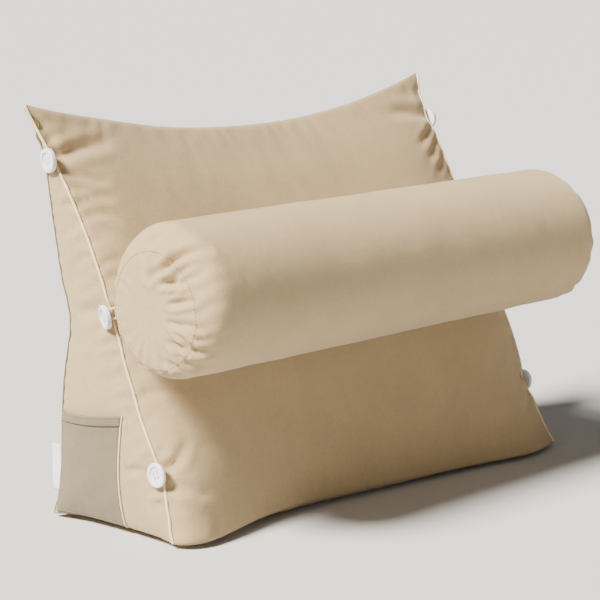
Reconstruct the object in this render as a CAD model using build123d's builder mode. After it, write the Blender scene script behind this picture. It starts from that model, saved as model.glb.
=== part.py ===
from build123d import *
import math
import os

# Triangular backrest cushion with a round lumbar bolster buttoned across its slope.
# Millimetres. +X runs across the cushion, +Y towards its back and +Z up.
# The origin is the middle of the flat base.

# --- Cloth and filling -------------------------------------------------------------
CLOTH = 1.2            # outer cover cloth
LINER_CLOTH = 0.8      # cloth of the inner bags
SEAM_ROOM = 1.8        # between cover and inner bag, for zip tapes and seam allowances
FILL_ROOM = 0.4        # between inner bag and fibre fill

# --- Wedge ---------------------------------------------------------------------------
WIDTH = 572.0          # across the two side panels
DEPTH = 190.0          # base, front to back
HEIGHT = 425.0         # top corners above the base
LEAN = 30.0            # top corners behind the back edge of the base
TOP_SAG = 26.0         # drop of the top edge at mid width
CROWN_END = 5.0        # swell of the front panel beside the side panels
CROWN_MIDDLE = 20.0    # swell of the front panel at mid width
PIPING_THICKNESS = CLOTH   # folded seam edge, in the plane of the side panel
FRONT_PIPING = 5.0     # how far the seam edge stands proud of the front panel
BACK_PIPING = 3.0
PIPING_START = 5.0     # height at which the piping begins

# --- Bolster -------------------------------------------------------------------------
BOLSTER_RADIUS = 76.5
BOLSTER_LENGTH = 612.0
BOLSTER_DOME = 9.5         # swell of each end panel
BOLSTER_SEAM_RADIUS = 66.0 # end seams, drawn in by the stitching
BOLSTER_SHOULDER = 55.0    # length over which the tube narrows to its end seam
BOLSTER_PLACE = 0.48       # where the bolster lies, as a fraction of the slope
BOLSTER_REST_GAP = 0.5

# --- Buttons and loops ---------------------------------------------------------------
BUTTON_PLACES = {"bottom": 0.178, "middle": 0.528, "top": 0.878}   # fractions of the slope
BUTTON_SETBACK = 8.0       # button centre behind the straight front edge of the side panel
BUTTON_RADIUS = 12.5
BUTTON_THICKNESS = 4.0
BUTTON_DISH_RADIUS = 8.5
BUTTON_DISH_DEPTH = 1.2
BUTTON_HOLE_RADIUS = 1.3
BUTTON_HOLE_SPACING = 5.0
BUTTON_STANDOFF = 3.0      # thread shank between side panel and button
THREAD_RADIUS = 0.8
SHANK_RADIUS = 1.5
LOOP_RADIUS = 1.1          # elastic cord
LOOP_HALF_WIDTH = 5.0      # cord centre line beside the shank
LOOP_SEAM_GAP = 0.5
LOOP_BEND = 8.0            # length over which a strand slants out to the bolster's end seam
LOOP_TURN_RADIUS = 4.9     # round the button's shank, just under the half width

# --- Pocket --------------------------------------------------------------------------
POCKET_FRONT = -5.0        # folded front edge, as a place along Y
POCKET_BACK_INSET = 5.0    # back edge in front of the back seam
POCKET_BOTTOM = 4.0
POCKET_TOP_FRONT = 123.0
POCKET_TOP_BACK = 113.0
POCKET_DEPTH = 9.0
HEM_HEIGHT = 10.0
HEM_THICKNESS = 0.8

# --- Label ---------------------------------------------------------------------------
LABEL_BOTTOM = 26.0
LABEL_TOP = 75.0
LABEL_REACH = 13.0
LABEL_THICKNESS = 0.8
LABEL_GAP = 0.8

# --- Zips ----------------------------------------------------------------------------
TAPE_WIDTH = 8.0
TAPE_THICKNESS = 0.6
TAPE_GAP = 0.8             # between the two tapes, under the coils
COIL_WIDTH = 2.25
COIL_HEIGHT = 2.0
COIL_GAP = 0.1
SLOT_HALF_WIDTH = 4.2      # opening in the cover over the coils
STOP_LENGTH = 3.0
STOP_HEIGHT = 2.6
SLIDER_LENGTH = 10.0
SLIDER_PLATE = 1.2
SLIDER_FLANGE = 1.0
SLIDER_CLEARANCE = 0.35
SLIDER_COIL_GAP = 0.3      # between the coils and the slider's plate
BRIDGE_RADIUS = 0.6
BRIDGE_RISE = 2.8          # bridge axis above the slider plate
PULL_RING_RADIUS = 1.9
PULL_WIRE_RADIUS = 0.45
PULL_RING_DROP = 0.5       # ring centre below the bridge axis
TAB_WIDTH = 5.0
TAB_LENGTH = 16.0
TAB_THICKNESS = 1.2
WEDGE_ZIP_LENGTH = 460.0
WEDGE_ZIP_RISE = 48.0      # zip above the bottom of the back panel
WEDGE_TAPE_DROP = 1.3      # tape below the outer face of the cover
BOLSTER_ZIP_LENGTH = 430.0
BOLSTER_ZIP_ANGLE = 35.0   # zip above the horizontal, on the bolster's hidden rear
BOLSTER_TAPE_DROP = 1.8
# Turn of each pull about the slider's bridge, towards the cloth it hangs over
BOLSTER_PULL_LEAN = 16.0   # it rests on the round of the bolster
WEDGE_PULL_LEAN = -math.degrees(math.atan2(LEAN, HEIGHT))   # it hangs plumb from the leaning back

os.makedirs("parts", exist_ok=True)


def save(piece, name):
    """Label a finished piece and write it under its node name."""
    piece.part.label = name
    export_step(piece.part, f"parts/{name}.step")


# ======================================================================================
# Side view of the wedge, in (y, z)
# ======================================================================================

FOOT = Vector(-DEPTH / 2, 0)
HEEL = Vector(DEPTH / 2, 0)
PEAK = Vector(DEPTH / 2 + LEAN, HEIGHT)
BACK_RISE = (PEAK - HEEL).normalized()
SLOPE = PEAK - FOOT
SLOPE_RISE = SLOPE.normalized()
SLOPE_OUTWARD = Vector(-SLOPE_RISE.Y, SLOPE_RISE.X)


def in_space(x, side_point):
    """A point of the side view, placed at station x."""
    return Vector(x, side_point.X, side_point.Y)


def inset_corner(corner, first, second, inset):
    """A triangle's corner after its two sides have moved inwards."""
    to_first = (first - corner).normalized()
    to_second = (second - corner).normalized()
    return corner + (to_first + to_second) * (inset / to_first.cross(to_second).length)


def side_outline(sag, crown, inset):
    """Foot, heel, peak and the crest of the front arc, all moved inwards."""
    peak = PEAK - BACK_RISE * sag
    foot = inset_corner(FOOT, HEEL, peak, inset)
    heel = inset_corner(HEEL, peak, FOOT, inset)
    top = inset_corner(peak, FOOT, HEEL, inset)
    rise = (top - foot).normalized()
    crest = (foot + top) / 2 + Vector(-rise.Y, rise.X) * crown
    return foot, heel, top, crest


def side_curve(sag, crown, inset):
    """Edges of the side-view outline, moved inwards by inset."""
    foot, heel, top, crest = side_outline(sag, crown, inset)
    with BuildLine() as outline:
        Line(foot, heel)
        Line(heel, top)
        ThreePointArc(top, crest, foot)
    return outline.edges()


def wedge_solid(half_width, inset):
    """The stuffed wedge: full at its ends, crowned in front and sagging at mid width."""
    with BuildPart() as body:
        for x, sag, crown in (
            (-half_width, 0, CROWN_END),
            (0, TOP_SAG, CROWN_MIDDLE),
            (half_width, 0, CROWN_END),
        ):
            with BuildSketch(Plane.YZ.offset(x)):
                make_face(side_curve(sag, crown, inset))
        loft()
    return body.part


def shifted(plane, local_place):
    """The same plane with its origin moved to a place in its own coordinates."""
    return Plane(origin=plane.from_local_coords(local_place), x_dir=plane.x_dir, z_dir=plane.z_dir)


BACK_FACE = Plane(origin=in_space(0, HEEL), x_dir=(-1, 0, 0), z_dir=(0, BACK_RISE.Y, -BACK_RISE.X))
BACK_INSIDE = BACK_FACE.offset(-CLOTH)
BASE_INSIDE = Plane.XY.offset(CLOTH)
WEDGE_ZIP_FACE = shifted(BACK_FACE, (0, WEDGE_ZIP_RISE, 0))

# ======================================================================================
# Wedge cover
# ======================================================================================

cover_half_width = WIDTH / 2 - CLOTH
cover_outside = wedge_solid(cover_half_width, 0)
cover_inside = wedge_solid(cover_half_width, CLOTH)

with BuildPart() as front_panel:
    add(cover_outside)
    add(cover_inside, mode=Mode.SUBTRACT)
    split(bisect_by=BASE_INSIDE, keep=Keep.TOP)
    split(bisect_by=BACK_INSIDE, keep=Keep.BOTTOM)
save(front_panel, "front_panel")

# The back panel is in two pieces, joined by the zip and sewn together beyond its ends.
zip_seam = Plane(origin=WEDGE_ZIP_FACE.origin, x_dir=(1, 0, 0), z_dir=WEDGE_ZIP_FACE.y_dir)
for name, kept_side in (("back_panel_upper", Keep.TOP), ("back_panel_lower", Keep.BOTTOM)):
    with BuildPart() as back_panel:
        add(cover_outside)
        add(cover_inside, mode=Mode.SUBTRACT)
        split(bisect_by=BACK_INSIDE, keep=Keep.TOP)
        split(bisect_by=zip_seam, keep=kept_side)
        with BuildSketch(WEDGE_ZIP_FACE):
            Rectangle(WEDGE_ZIP_LENGTH, 2 * SLOT_HALF_WIDTH)
        extrude(amount=2 * CLOTH, both=True, mode=Mode.SUBTRACT)
    save(back_panel, name)

with BuildPart() as base_panel:
    with BuildSketch(Plane.YZ.offset(-cover_half_width)):
        with BuildLine():
            Polyline(
                FOOT,
                HEEL,
                HEEL + BACK_RISE * (CLOTH / BACK_RISE.Y),
                FOOT + SLOPE_RISE * (CLOTH / SLOPE_RISE.Y),
                close=True,
            )
        make_face()
    extrude(amount=2 * cover_half_width)
    split(bisect_by=BACK_INSIDE, keep=Keep.BOTTOM)
save(base_panel, "base_panel")

for side, name in ((-1, "left_side_panel"), (1, "right_side_panel")):
    with BuildPart() as side_panel:
        with BuildSketch(Plane.YZ.offset(side * cover_half_width)):
            make_face(side_curve(0, CROWN_END, 0))
        extrude(amount=side * CLOTH)
    save(side_panel, name)

# Each side seam is turned out into a narrow folded edge in the plane of the side panel.
for side, side_name in ((-1, "left"), (1, "right")):
    for edge_name, width, kept_side in (
        ("front", FRONT_PIPING, Keep.BOTTOM),
        ("back", BACK_PIPING, Keep.TOP),
    ):
        with BuildPart() as piping:
            with BuildSketch(Plane.YZ.offset(side * WIDTH / 2)):
                make_face(side_curve(0, CROWN_END, -width))
                make_face(side_curve(0, CROWN_END, 0), mode=Mode.SUBTRACT)
            extrude(amount=-side * PIPING_THICKNESS)
            split(bisect_by=Plane.XY.offset(PIPING_START), keep=Keep.TOP)
            split(bisect_by=Plane.XY.offset(HEIGHT), keep=Keep.BOTTOM)
            split(bisect_by=BACK_FACE, keep=kept_side)
        save(piping, f"{side_name}_{edge_name}_piping")

# ======================================================================================
# Inner bag and fibre fill of the wedge
# ======================================================================================

liner_inset = CLOTH + SEAM_ROOM
fill_inset = liner_inset + LINER_CLOTH + FILL_ROOM

with BuildPart() as wedge_liner:
    add(wedge_solid(WIDTH / 2 - liner_inset, liner_inset))
    liner_inside = liner_inset + LINER_CLOTH
    add(wedge_solid(WIDTH / 2 - liner_inside, liner_inside), mode=Mode.SUBTRACT)
save(wedge_liner, "wedge_liner")

with BuildPart() as wedge_fill:
    add(wedge_solid(WIDTH / 2 - fill_inset, fill_inset))
save(wedge_fill, "wedge_fill")

# ======================================================================================
# Side pocket: a patch open at its top, standing off the left side panel
# ======================================================================================

BACK_LEAN = BACK_RISE.X / BACK_RISE.Y


def pocket_curve(edge, bottoms, tops):
    """Edges of a panel between the pocket's front and back edges, each drawn in by edge.

    bottoms and tops are the heights at the front and at the back.
    """
    front = POCKET_FRONT + edge
    back = HEEL.X - POCKET_BACK_INSET - edge
    with BuildLine() as outline:
        Polyline(
            (front, bottoms[0]),
            (back + BACK_LEAN * bottoms[1], bottoms[1]),
            (back + BACK_LEAN * tops[1], tops[1]),
            (front, tops[0]),
            close=True,
        )
    return outline.edges()


pocket_tops = (POCKET_TOP_FRONT, POCKET_TOP_BACK)
cavity_bottom = POCKET_BOTTOM + CLOTH
with BuildPart() as side_pocket:
    with BuildSketch(Plane.YZ.offset(-WIDTH / 2)):
        make_face(pocket_curve(0, (POCKET_BOTTOM, POCKET_BOTTOM), pocket_tops))
    extrude(amount=-(POCKET_DEPTH + CLOTH))
    with BuildSketch(Plane.YZ.offset(-WIDTH / 2)):
        make_face(pocket_curve(CLOTH, (cavity_bottom, cavity_bottom), (HEIGHT / 2, HEIGHT / 2)))
    extrude(amount=-POCKET_DEPTH, mode=Mode.SUBTRACT)
save(side_pocket, "side_pocket")

with BuildPart() as pocket_hem:
    with BuildSketch(Plane.YZ.offset(-WIDTH / 2 - POCKET_DEPTH - CLOTH)):
        hem_bottoms = (POCKET_TOP_FRONT - HEM_HEIGHT, POCKET_TOP_BACK - HEM_HEIGHT)
        make_face(pocket_curve(0, hem_bottoms, pocket_tops))
    extrude(amount=-HEM_THICKNESS)
save(pocket_hem, "pocket_hem")

# ======================================================================================
# Buttons, in three pairs down the front edges of the side panels
# ======================================================================================


def button_place(fraction):
    """Centre of a button in the side view."""
    return FOOT + SLOPE * fraction - SLOPE_OUTWARD * BUTTON_SETBACK


def button_plane(side, fraction, height):
    """Plane across a button, facing outwards, at a height above the side panel."""
    return Plane(
        origin=in_space(side * (WIDTH / 2 + height), button_place(fraction)),
        x_dir=in_space(0, SLOPE_RISE),
        z_dir=(side, 0, 0),
    )


for side, side_name in ((-1, "left"), (1, "right")):
    for place_name, fraction in BUTTON_PLACES.items():
        with BuildPart() as button:
            with BuildSketch(button_plane(side, fraction, BUTTON_STANDOFF)):
                Circle(BUTTON_RADIUS)
            extrude(amount=BUTTON_THICKNESS)
            fillet(button.edges().filter_by(GeomType.CIRCLE), radius=BUTTON_THICKNESS / 3)
            face_plane = button_plane(side, fraction, BUTTON_STANDOFF + BUTTON_THICKNESS)
            with BuildSketch(face_plane):
                Circle(BUTTON_DISH_RADIUS)
            extrude(amount=-BUTTON_DISH_DEPTH, mode=Mode.SUBTRACT)
            with BuildSketch(face_plane):
                with GridLocations(BUTTON_HOLE_SPACING, BUTTON_HOLE_SPACING, 2, 2):
                    Circle(BUTTON_HOLE_RADIUS)
            extrude(amount=-BUTTON_THICKNESS, mode=Mode.SUBTRACT)
        save(button, f"{side_name}_{place_name}_button")

# One thread shank a button, with two stitches over the button's dish.
thread_top = BUTTON_STANDOFF + BUTTON_THICKNESS - BUTTON_DISH_DEPTH
for side, side_name in ((-1, "left"), (1, "right")):
    with BuildPart() as button_threads:
        for fraction in BUTTON_PLACES.values():
            with BuildSketch(button_plane(side, fraction, 0)):
                Circle(SHANK_RADIUS)
            extrude(amount=BUTTON_STANDOFF - THREAD_RADIUS)
            with BuildSketch(button_plane(side, fraction, BUTTON_STANDOFF - THREAD_RADIUS)):
                Circle(BUTTON_HOLE_SPACING / 2 + THREAD_RADIUS)
            extrude(amount=THREAD_RADIUS)
            with BuildSketch(button_plane(side, fraction, BUTTON_STANDOFF)):
                with GridLocations(BUTTON_HOLE_SPACING, BUTTON_HOLE_SPACING, 2, 2):
                    Circle(THREAD_RADIUS)
            extrude(amount=thread_top - BUTTON_STANDOFF)
            with BuildSketch(button_plane(side, fraction, thread_top)):
                with GridLocations(0, BUTTON_HOLE_SPACING, 1, 2):
                    Rectangle(BUTTON_HOLE_SPACING + 2 * THREAD_RADIUS, 2 * THREAD_RADIUS)
            extrude(amount=THREAD_RADIUS)
    save(button_threads, f"{side_name}_button_threads")

# ======================================================================================
# Bolster: a tube with two swollen end panels, tangent to the crown of the front panel
# ======================================================================================

# The front panel's arc at mid width gives the line that the bolster rests along.
mid_foot, mid_heel, mid_top, mid_crest = side_outline(TOP_SAG, CROWN_MIDDLE, 0)
mid_chord = (mid_top - mid_foot).length
mid_arc_radius = mid_chord**2 / (8 * CROWN_MIDDLE) + CROWN_MIDDLE / 2
mid_outward = (mid_crest - (mid_foot + mid_top) / 2).normalized()
mid_arc_centre = mid_crest - mid_outward * mid_arc_radius
bolster_direction = (FOOT + SLOPE * BOLSTER_PLACE - mid_arc_centre).normalized()
bolster_centre = mid_arc_centre + bolster_direction * (
    mid_arc_radius + BOLSTER_REST_GAP + BOLSTER_RADIUS
)

bolster_seam_x = BOLSTER_LENGTH / 2 - BOLSTER_DOME
bolster_axis = Axis(in_space(0, bolster_centre), (1, 0, 0))
bolster_plane = Plane(origin=in_space(0, bolster_centre), x_dir=(1, 0, 0), z_dir=(0, -1, 0))


def bolster_solid(inset):
    """The stuffed bolster, drawn in evenly by inset."""
    radius = BOLSTER_RADIUS - inset
    end_x = BOLSTER_LENGTH / 2 - inset
    shoulder_x = bolster_seam_x - BOLSTER_SHOULDER
    seam = (bolster_seam_x - inset, BOLSTER_SEAM_RADIUS - inset)
    with BuildPart() as body:
        with BuildSketch(bolster_plane):
            with BuildLine():
                Line((0, radius), (shoulder_x, radius))
                TangentArc((shoulder_x, radius), seam, tangent=(1, 0))
                TangentArc((end_x, 0), seam, tangent=(0, 1))
                Line((end_x, 0), (0, 0))
                mirror(about=Plane.YZ)
            make_face()
        revolve(axis=bolster_axis)
    return body.part


zip_angle = math.radians(BOLSTER_ZIP_ANGLE)
bolster_zip_outward = Vector(math.cos(zip_angle), math.sin(zip_angle))
BOLSTER_ZIP_FACE = Plane(
    origin=in_space(0, bolster_centre + bolster_zip_outward * BOLSTER_RADIUS),
    x_dir=(-1, 0, 0),
    z_dir=in_space(0, bolster_zip_outward),
)

bolster_outside = bolster_solid(0)
bolster_inside = bolster_solid(CLOTH)
left_seam = Plane.YZ.offset(-bolster_seam_x)
right_seam = Plane.YZ.offset(bolster_seam_x)

with BuildPart() as bolster_tube_panel:
    add(bolster_outside)
    add(bolster_inside, mode=Mode.SUBTRACT)
    split(bisect_by=left_seam, keep=Keep.TOP)
    split(bisect_by=right_seam, keep=Keep.BOTTOM)
    with BuildSketch(BOLSTER_ZIP_FACE):
        Rectangle(BOLSTER_ZIP_LENGTH, 2 * SLOT_HALF_WIDTH)
    extrude(amount=2 * CLOTH, both=True, mode=Mode.SUBTRACT)
save(bolster_tube_panel, "bolster_tube_panel")

for name, seam_plane, kept_side in (
    ("bolster_left_end_panel", left_seam, Keep.BOTTOM),
    ("bolster_right_end_panel", right_seam, Keep.TOP),
):
    with BuildPart() as end_panel:
        add(bolster_outside)
        add(bolster_inside, mode=Mode.SUBTRACT)
        split(bisect_by=seam_plane, keep=kept_side)
    save(end_panel, name)

with BuildPart() as bolster_liner:
    add(bolster_solid(liner_inset))
    add(bolster_solid(liner_inset + LINER_CLOTH), mode=Mode.SUBTRACT)
save(bolster_liner, "bolster_liner")

with BuildPart() as bolster_fill:
    add(bolster_solid(fill_inset))
save(bolster_fill, "bolster_fill")

# ======================================================================================
# Elastic loops, from the bolster's end seams round the shanks of the middle buttons
# ======================================================================================

middle_button = button_place(BUTTON_PLACES["middle"])
loop_line = (bolster_centre - middle_button).normalized()
loop_across = Vector(-loop_line.Y, loop_line.X)
loop_span = (bolster_centre - middle_button).length
loop_seam_run = loop_span - BOLSTER_SEAM_RADIUS - LOOP_RADIUS - LOOP_SEAM_GAP
loop_bend_run = loop_seam_run - LOOP_BEND
loop_x = WIDTH / 2 + BUTTON_STANDOFF / 2
loop_seam_x = bolster_seam_x + LOOP_RADIUS + LOOP_SEAM_GAP

for side, name in ((-1, "left_loop"), (1, "right_loop")):
    route = []
    for across in (LOOP_HALF_WIDTH, -LOOP_HALF_WIDTH):
        start = middle_button + loop_across * across
        strand = [
            in_space(side * loop_seam_x, start + loop_line * loop_seam_run),
            in_space(side * loop_x, start + loop_line * loop_bend_run),
            in_space(side * loop_x, start - loop_line * LOOP_HALF_WIDTH),
        ]
        route += strand if across > 0 else reversed(strand)
    bend = 2 * LOOP_RADIUS
    with BuildPart() as loop:
        with BuildLine() as centre_line:
            FilletPolyline(*route, radius=(bend, LOOP_TURN_RADIUS, LOOP_TURN_RADIUS, bend))
        with BuildSketch(Plane(origin=centre_line.line @ 0, z_dir=centre_line.line % 0)):
            Circle(LOOP_RADIUS)
        sweep(path=centre_line.line)
    save(loop, name)

# ======================================================================================
# Zips. Each is built on the face of its cover: local x along the zip, local z outwards.
# ======================================================================================

plate_bottom = COIL_HEIGHT + SLIDER_COIL_GAP
bridge_height = plate_bottom + SLIDER_PLATE + BRIDGE_RISE
flange_inside = COIL_GAP / 2 + COIL_WIDTH + SLIDER_CLEARANCE


def zip_tapes(tape_face, length):
    """Two cloth tapes behind the cover, side by side under the coils."""
    with BuildPart() as tapes:
        with BuildSketch(tape_face):
            with GridLocations(0, TAPE_GAP + TAPE_WIDTH, 1, 2):
                Rectangle(length + 2 * TAPE_WIDTH, TAPE_WIDTH)
        extrude(amount=-TAPE_THICKNESS)
    return tapes


def zip_coils(tape_face, length):
    """Two rows of interlocked coil, one sewn along each tape."""
    coil_length = length - 2 * STOP_LENGTH - 2 * COIL_GAP
    start = tape_face.from_local_coords((-coil_length / 2, 0, 0))
    with BuildPart() as coils:
        with BuildSketch(Plane(origin=start, x_dir=tape_face.y_dir, z_dir=tape_face.x_dir)):
            with Locations((0, COIL_HEIGHT / 2)):
                with GridLocations(COIL_GAP + COIL_WIDTH, 0, 2, 1):
                    RectangleRounded(COIL_WIDTH, COIL_HEIGHT, radius=COIL_HEIGHT / 3)
        extrude(amount=coil_length)
    return coils


def zip_stops(tape_face, length):
    """A metal stop at each end of the coils."""
    with BuildPart() as stops:
        with BuildSketch(tape_face):
            with GridLocations(length - STOP_LENGTH, 0, 2, 1):
                RectangleRounded(STOP_LENGTH, 2 * COIL_WIDTH, radius=STOP_LENGTH / 6)
        extrude(amount=STOP_HEIGHT)
    return stops


def zip_slider(slider_face):
    """Slider body over the coils, with a bridge for the pull."""
    outside = 2 * (flange_inside + SLIDER_FLANGE)
    with BuildPart() as slider:
        with BuildSketch(slider_face.offset(SLIDER_CLEARANCE)):
            RectangleRounded(SLIDER_LENGTH, outside, radius=SLIDER_FLANGE)
        extrude(amount=plate_bottom + SLIDER_PLATE - SLIDER_CLEARANCE)
        with BuildSketch(slider_face):
            Rectangle(2 * SLIDER_LENGTH, 2 * flange_inside)
        extrude(amount=plate_bottom, mode=Mode.SUBTRACT)
        with BuildSketch(slider_face.offset(plate_bottom + SLIDER_PLATE)):
            with GridLocations(SLIDER_LENGTH - 3 * BRIDGE_RADIUS, 0, 2, 1):
                Circle(BRIDGE_RADIUS)
        extrude(amount=BRIDGE_RISE)
        bridge_start = -SLIDER_LENGTH / 2 + BRIDGE_RADIUS / 2
        bridge_end = slider_face.from_local_coords((bridge_start, 0, bridge_height))
        with BuildSketch(Plane(origin=bridge_end, z_dir=slider_face.x_dir)):
            Circle(BRIDGE_RADIUS)
        extrude(amount=SLIDER_LENGTH - BRIDGE_RADIUS)
    return slider


def zip_pull(hinge_plane):
    """Wire ring round the slider's bridge, with a tab hanging along the plane's -y."""
    ring_centre = hinge_plane.from_local_coords((0, -PULL_RING_DROP, 0))
    tab_middle = PULL_RING_DROP + PULL_RING_RADIUS + TAB_LENGTH / 2
    with BuildPart() as pull:
        with BuildSketch(Plane(origin=ring_centre, x_dir=hinge_plane.y_dir, z_dir=hinge_plane.z_dir)):
            with Locations((PULL_RING_RADIUS, 0)):
                Circle(PULL_WIRE_RADIUS)
        revolve(axis=Axis(ring_centre, hinge_plane.x_dir))
        with BuildSketch(hinge_plane.offset(-TAB_THICKNESS / 2)):
            with Locations((0, -tab_middle)):
                RectangleRounded(TAB_WIDTH, TAB_LENGTH, radius=TAB_WIDTH / 3)
        extrude(amount=TAB_THICKNESS)
    return pull


zips = (
    ("wedge_zip", WEDGE_ZIP_FACE, WEDGE_TAPE_DROP, WEDGE_ZIP_LENGTH, WEDGE_PULL_LEAN),
    ("bolster_zip", BOLSTER_ZIP_FACE, BOLSTER_TAPE_DROP, BOLSTER_ZIP_LENGTH, BOLSTER_PULL_LEAN),
)
for zip_name, cover_face, tape_drop, zip_length, pull_lean in zips:
    tape_face = shifted(cover_face, (0, 0, -tape_drop))
    slider_along = zip_length / 2 - STOP_LENGTH - SLIDER_LENGTH / 2 - 1
    slider_face = shifted(tape_face, (slider_along, 0, 0))
    hinge_plane = shifted(slider_face, (0, 0, bridge_height)).rotated((pull_lean, 0, 0))
    save(zip_tapes(tape_face, zip_length), f"{zip_name}_tapes")
    save(zip_coils(tape_face, zip_length), f"{zip_name}_coils")
    save(zip_stops(tape_face, zip_length), f"{zip_name}_stops")
    save(zip_slider(slider_face), f"{zip_name}_slider")
    save(zip_pull(hinge_plane), f"{zip_name}_pull")

# ======================================================================================
# Care label, sewn into the back left seam
# ======================================================================================

BACK_OUTWARD = Vector(BACK_RISE.Y, -BACK_RISE.X)


def beside_back_seam(rise, outward):
    """A point of the side view, a distance up the back edge and a distance out from it."""
    return HEEL + BACK_RISE * rise + BACK_OUTWARD * outward


label_inner_edge = BACK_PIPING + LABEL_GAP
label_outer_edge = label_inner_edge + LABEL_REACH
with BuildPart() as care_label:
    with BuildSketch(Plane.YZ.offset(-WIDTH / 2 + (PIPING_THICKNESS - LABEL_THICKNESS) / 2)):
        with BuildLine():
            Polyline(
                beside_back_seam(LABEL_BOTTOM, label_inner_edge),
                beside_back_seam(LABEL_BOTTOM, label_outer_edge),
                beside_back_seam(LABEL_TOP, label_outer_edge),
                beside_back_seam(LABEL_TOP, label_inner_edge),
                close=True,
            )
        make_face()
    extrude(amount=LABEL_THICKNESS)
save(care_label, "care_label")
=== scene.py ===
import math
from contextlib import contextmanager

import bmesh
import bpy
import numpy as np
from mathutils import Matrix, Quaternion, Vector, geometry, noise
from mathutils.bvhtree import BVHTree


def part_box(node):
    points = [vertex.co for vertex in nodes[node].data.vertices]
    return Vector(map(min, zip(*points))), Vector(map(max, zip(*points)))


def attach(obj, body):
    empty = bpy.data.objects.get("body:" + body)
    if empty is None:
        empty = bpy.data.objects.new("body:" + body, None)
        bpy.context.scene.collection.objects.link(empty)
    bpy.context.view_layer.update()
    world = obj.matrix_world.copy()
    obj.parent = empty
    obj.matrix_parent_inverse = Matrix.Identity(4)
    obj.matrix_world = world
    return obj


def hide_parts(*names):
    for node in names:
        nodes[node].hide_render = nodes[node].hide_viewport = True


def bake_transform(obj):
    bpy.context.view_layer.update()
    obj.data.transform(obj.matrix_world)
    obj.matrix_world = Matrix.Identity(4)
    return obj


# A wedge-shaped backrest cushion with a buttoned lumbar bolster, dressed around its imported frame.
# Shapes are worked out in millimetres in the row frame, and scaled once, in new_piece().
# +X runs across the cushion, +Y towards its back and +Z up.

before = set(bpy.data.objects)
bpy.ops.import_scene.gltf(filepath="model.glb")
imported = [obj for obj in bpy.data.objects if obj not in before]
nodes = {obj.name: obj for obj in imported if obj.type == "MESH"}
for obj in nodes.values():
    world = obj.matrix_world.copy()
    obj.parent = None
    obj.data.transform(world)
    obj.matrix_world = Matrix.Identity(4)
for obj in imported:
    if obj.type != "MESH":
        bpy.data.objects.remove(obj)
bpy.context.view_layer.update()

MM = 0.001
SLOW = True


def node_box(name):
    """Lowest and highest corner of a CAD node, in millimetres."""
    low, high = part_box(name)
    return np.array(low) / MM, np.array(high) / MM


def middle_of(name):
    low, high = node_box(name)
    return (low + high) / 2


# ---- Places taken from the frame ----

HEIGHT = node_box("left_side_panel")[1][2]
FOOT = np.array([-95.0, 0.0])
HEEL = np.array([95.0, 0.0])
PEAK = np.array([125.0, HEIGHT])
SLOPE = (PEAK - FOOT) / np.linalg.norm(PEAK - FOOT)
SLOPE_OUT = np.array([0.0, -SLOPE[1], SLOPE[0]])
BACK_OUT = np.array([0.0, HEIGHT, HEEL[0] - PEAK[0]]) / math.hypot(HEIGHT, HEEL[0] - PEAK[0])
BOLSTER_CENTRE = middle_of("bolster_tube_panel")[1:]
BOLSTER_RADIUS = (node_box("bolster_tube_panel")[1][2] - node_box("bolster_tube_panel")[0][2]) / 2
SEAM_X = node_box("bolster_tube_panel")[1][0]
BUTTONS = {height: middle_of(f"left_{height}_button") for height in ("bottom", "middle", "top")}
WEDGE_ZIP_Z = middle_of("wedge_zip_coils")[2]
WEDGE_ZIP_REACH = node_box("wedge_zip_stops")[1][0]
BOLSTER_ZIP_REACH = node_box("bolster_zip_stops")[1][0]
BOLSTER_ZIP_ANGLE = math.radians(35)
SLOT = 4.2        # half the width of a zip's slot
SLOT_DEPTH = 5.5
FLOOR_GAP = 0.2

# ---- Helpers ----


def linked(name, data):
    """A new object in the scene."""
    obj = bpy.data.objects.new(name, data)
    bpy.context.scene.collection.objects.link(obj)
    return obj


def new_piece(name, points, faces, smooth=True):
    """A mesh object from points in millimetres."""
    mesh = bpy.data.meshes.new(name)
    mesh.from_pydata([tuple(p) for p in np.asarray(points) * MM], [], faces)
    mesh.validate()
    if smooth:
        mesh.polygons.foreach_set("use_smooth", [True] * len(mesh.polygons))
    return linked(name, mesh)


def coords(obj):
    co = np.zeros(len(obj.data.vertices) * 3)
    obj.data.vertices.foreach_get("co", co)
    return co.reshape(-1, 3) / MM


def set_coords(obj, points):
    obj.data.vertices.foreach_set("co", (np.asarray(points) * MM).ravel())
    obj.data.update()


def normals(obj):
    n = np.zeros(len(obj.data.vertices) * 3)
    obj.data.vertices.foreach_get("normal", n)
    return n.reshape(-1, 3)


def resampled(line, stops):
    """Points of a line at the given fractions of its length."""
    line = np.asarray(line, float)
    run = np.concatenate([[0], np.cumsum(np.linalg.norm(np.diff(line, axis=0), axis=1))])
    return np.stack([np.interp(np.asarray(stops) * run[-1], run, line[:, k]) for k in range(3)], 1)


def curve_through(points, stops, rounds=24):
    """A smooth curve through points, sampled at fractions of its length."""
    p = np.asarray(points, float)
    p = np.concatenate([[2 * p[0] - p[1]], p, [2 * p[-1] - p[-2]]])
    t = np.linspace(0, 1, rounds, endpoint=False)[:, None]
    line = []
    for a, b, c, d in zip(p, p[1:], p[2:], p[3:]):
        line.append(0.5 * (2 * b + (c - a) * t + (2 * a - 5 * b + 4 * c - d) * t**2
                           + (3 * b - a - 3 * c + d) * t**3))
    line.append(p[-2:-1])
    return resampled(np.concatenate(line), stops)


def fuzz(points, size, seed=0.0):
    """Smooth noise from -1 to 1 at each point."""
    return np.array([noise.noise(Vector(p) / size + Vector((seed, seed * 0.7, -seed))) for p in points])


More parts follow.
